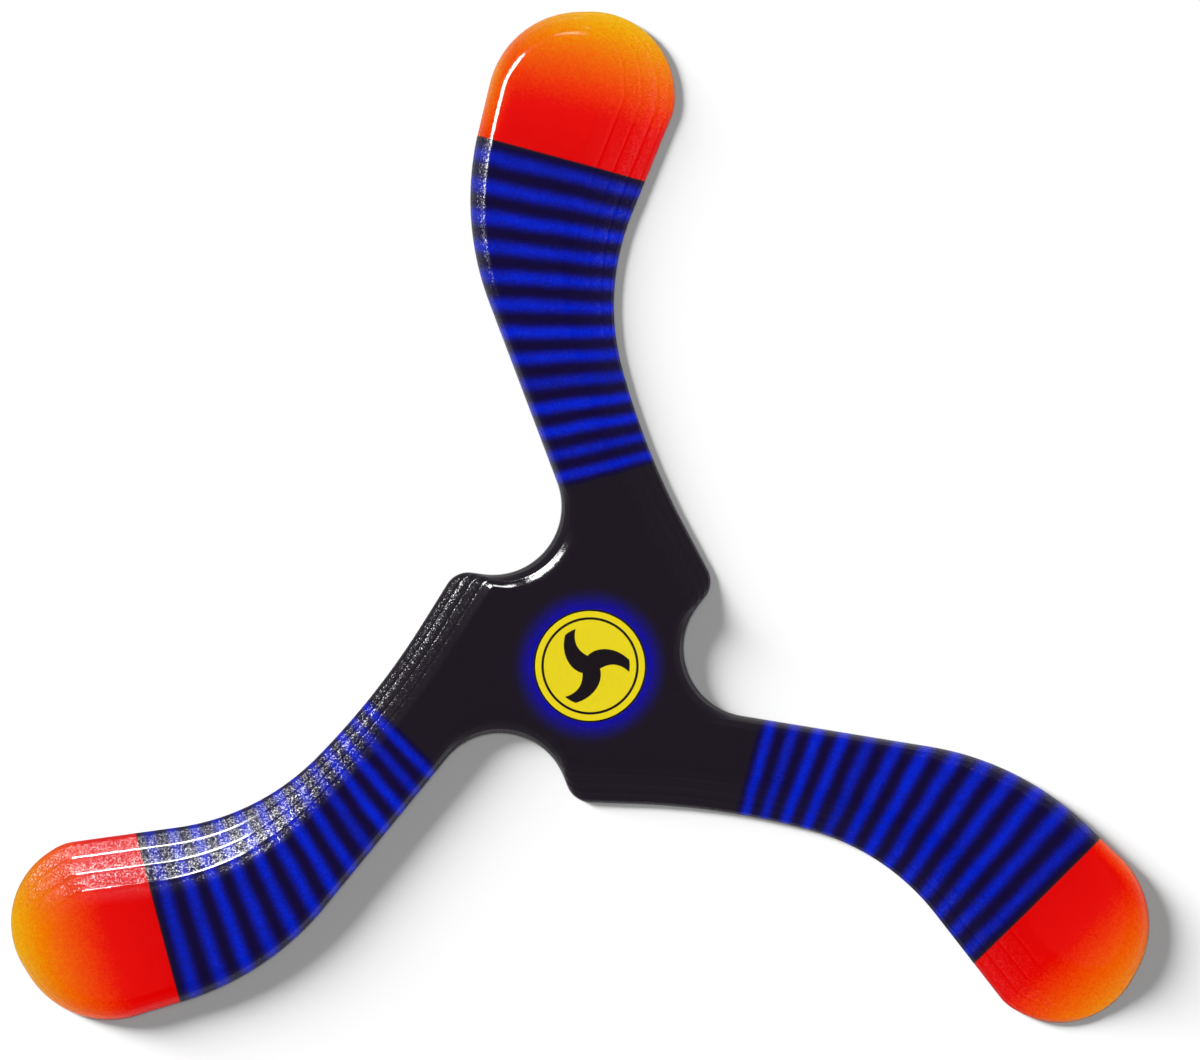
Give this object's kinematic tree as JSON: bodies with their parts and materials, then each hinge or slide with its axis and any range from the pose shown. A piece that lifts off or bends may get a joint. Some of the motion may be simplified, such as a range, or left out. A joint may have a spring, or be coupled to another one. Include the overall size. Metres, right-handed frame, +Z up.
{
  "type": "boomerang",
  "caption": "Flat boomerang with three equal curved blades, rounded leading edges and tapered trailing edges, milled from layered plywood, for throwing and returning.",
  "frame": {"origin": "hub centre on the flat underside, where the object rests", "axes": "+Z up through the shaped and painted face; +Y out along one blade, the other two blades 120 degrees apart; the three blades repeat about Z"},
  "size_m": [0.2806, 0.2493, 0.0041],
  "materials": {
    "birch_face": "satin",
    "birch_cross": "satin",
    "glue_film": "satin",
    "badge_vinyl": "gloss",
    "paint_and_lacquer": "gloss"
  },
  "bodies": {
    "root": {"bottom_face_veneer": "birch_face", "lower_cross_veneer": "birch_cross", "core_veneer": "birch_face", "upper_cross_veneer": "birch_cross", "top_face_veneer": "birch_face", "bottom_glue_film": "glue_film", "lower_core_glue_film": "glue_film", "upper_core_glue_film": "glue_film", "top_glue_film": "glue_film", "centre_badge": "badge_vinyl"}
  },
  "joints": []
}
